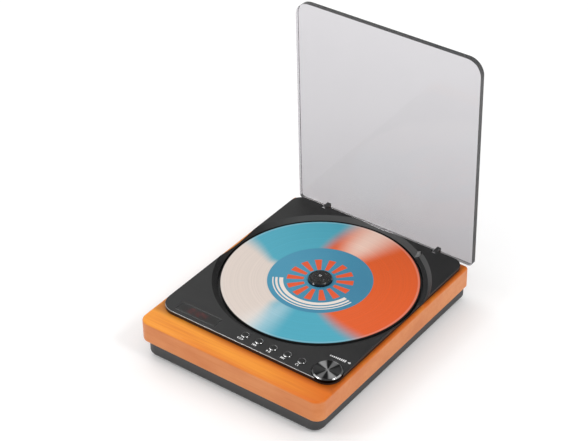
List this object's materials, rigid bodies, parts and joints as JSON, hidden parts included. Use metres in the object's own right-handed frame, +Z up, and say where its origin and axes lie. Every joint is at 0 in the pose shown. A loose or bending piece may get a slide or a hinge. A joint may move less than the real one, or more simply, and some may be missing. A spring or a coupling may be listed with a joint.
{
  "type": "bluetooth cd player",
  "caption": "Low desktop CD player with a wooden plinth, black deck with an open disc well, round volume knob, a row of push buttons, small display and a clear hinged lid.",
  "frame": {"origin": "on the floor, under the middle of the whole outline with the lid open", "axes": "+Z up, +X to the right as seen from the control side, +Y from the controls to the lid's hinge"},
  "size_m": [0.13, 0.1631, 0.1662],
  "materials": {
    "wood": "satin varnish",
    "base_plastic": "fine matt",
    "foot_rubber": "matt",
    "deck_plastic": "semi-gloss",
    "clear_plastic": "clear, grey tint",
    "hinge_paint": "satin",
    "hinge_chrome": "polished",
    "knob_metal": "spun, dark",
    "button_chrome": "polished",
    "smoked_window": "smoked",
    "black_plastic": "matt",
    "hub_plastic": "gloss",
    "ball_chrome": "polished",
    "printed_disc": "printed, gloss",
    "steel": "plain",
    "circuit_board": "solder mask",
    "damper_rubber": "matt",
    "sled_plastic": "matt",
    "lens_plastic": "coated",
    "motor_can": "plain",
    "shield_can": "tinned"
  },
  "bodies": {
    "case": {"plinth": "wood", "base_pan": "base_plastic", "rubber_feet": "foot_rubber", "case_screws": "steel", "deck": "deck_plastic", "encoder_body": "black_plastic", "tact_switches": "black_plastic", "display_window": "smoked_window", "display_digits": "black_plastic", "infrared_receiver": "black_plastic", "control_board": "circuit_board", "control_board_screws": "steel", "spindle_motor": "motor_can", "drive_chassis": "steel", "chassis_dampers": "damper_rubber", "chassis_screws": "steel", "guide_rods": "steel", "sled_motor": "motor_can", "main_board": "circuit_board", "main_board_screws": "steel", "controller_chip": "black_plastic", "wireless_module": "shield_can", "capacitors": "black_plastic", "power_inlet": "shield_can", "audio_jack": "black_plastic"},
    "lid_body": {"lid": "clear_plastic", "hinge_arm_left": "hinge_paint", "hinge_arm_right": "hinge_paint", "hinge_pins": "hinge_chrome"},
    "knob_body": {"volume_knob": "knob_metal", "encoder_shaft": "steel"},
    "spindle_body": {"turntable_hub": "hub_plastic", "hub_locking_balls": "ball_chrome", "spindle_shaft": "steel"},
    "disc_body": {"disc": "printed_disc"},
    "sled_body": {"pickup_sled": "sled_plastic", "pickup_lens": "lens_plastic"},
    "lead_screw_body": {"lead_screw": "steel"},
    "mode_button_body": {"mode_button": "button_chrome"},
    "previous_button_body": {"previous_button": "button_chrome"},
    "play_button_body": {"play_button": "button_chrome"},
    "next_button_body": {"next_button": "button_chrome"},
    "repeat_button_body": {"repeat_button": "button_chrome"}
  },
  "joints": [
    {"name": "lid_hinge", "type": "hinge", "parent": "case", "child": "lid_body", "pos_m": [0, 0.0715, 0.0268], "axis": [1, 0, 0], "range_deg": [0, 89]},
    {"name": "volume_turn", "type": "hinge", "parent": "case", "child": "knob_body", "pos_m": [0.0533, -0.0575, 0.0283], "axis": [0, 0, 1], "continuous": true},
    {"name": "spindle_spin", "type": "hinge", "parent": "case", "child": "spindle_body", "pos_m": [0, 0.0101, 0.0253], "axis": [0, 0, 1], "continuous": true},
    {"name": "disc_lift", "type": "slide", "parent": "spindle_body", "child": "disc_body", "axis": [0, 0, 1], "range_m": [0, 0.006]},
    {"name": "sled_travel", "type": "slide", "parent": "case", "child": "sled_body", "axis": [0, -1, 0], "range_m": [0, 0.033]},
    {"name": "lead_screw_turn", "type": "hinge", "parent": "case", "child": "lead_screw_body", "pos_m": [0.02251, -0.03, 0.0135], "axis": [0, 1, 0], "range_deg": [0, 4000]},
    {"name": "mode_button_press", "type": "slide", "parent": "case", "child": "mode_button_body", "axis": [0, 0, -1], "range_m": [0, 0.0004], "stiffness_N_per_m": 500, "springref_m": -0.0005},
    {"name": "previous_button_press", "type": "slide", "parent": "case", "child": "previous_button_body", "axis": [0, 0, -1], "range_m": [0, 0.0004], "stiffness_N_per_m": 500, "springref_m": -0.0005},
    {"name": "play_button_press", "type": "slide", "parent": "case", "child": "play_button_body", "axis": [0, 0, -1], "range_m": [0, 0.0004], "stiffness_N_per_m": 500, "springref_m": -0.0005},
    {"name": "next_button_press", "type": "slide", "parent": "case", "child": "next_button_body", "axis": [0, 0, -1], "range_m": [0, 0.0004], "stiffness_N_per_m": 500, "springref_m": -0.0005},
    {"name": "repeat_button_press", "type": "slide", "parent": "case", "child": "repeat_button_body", "axis": [0, 0, -1], "range_m": [0, 0.0004], "stiffness_N_per_m": 500, "springref_m": -0.0005}
  ],
  "couplings": [
    {"joint": "lead_screw_turn", "follows": "sled_travel", "rad_per_m": 2094.4}
  ]
}
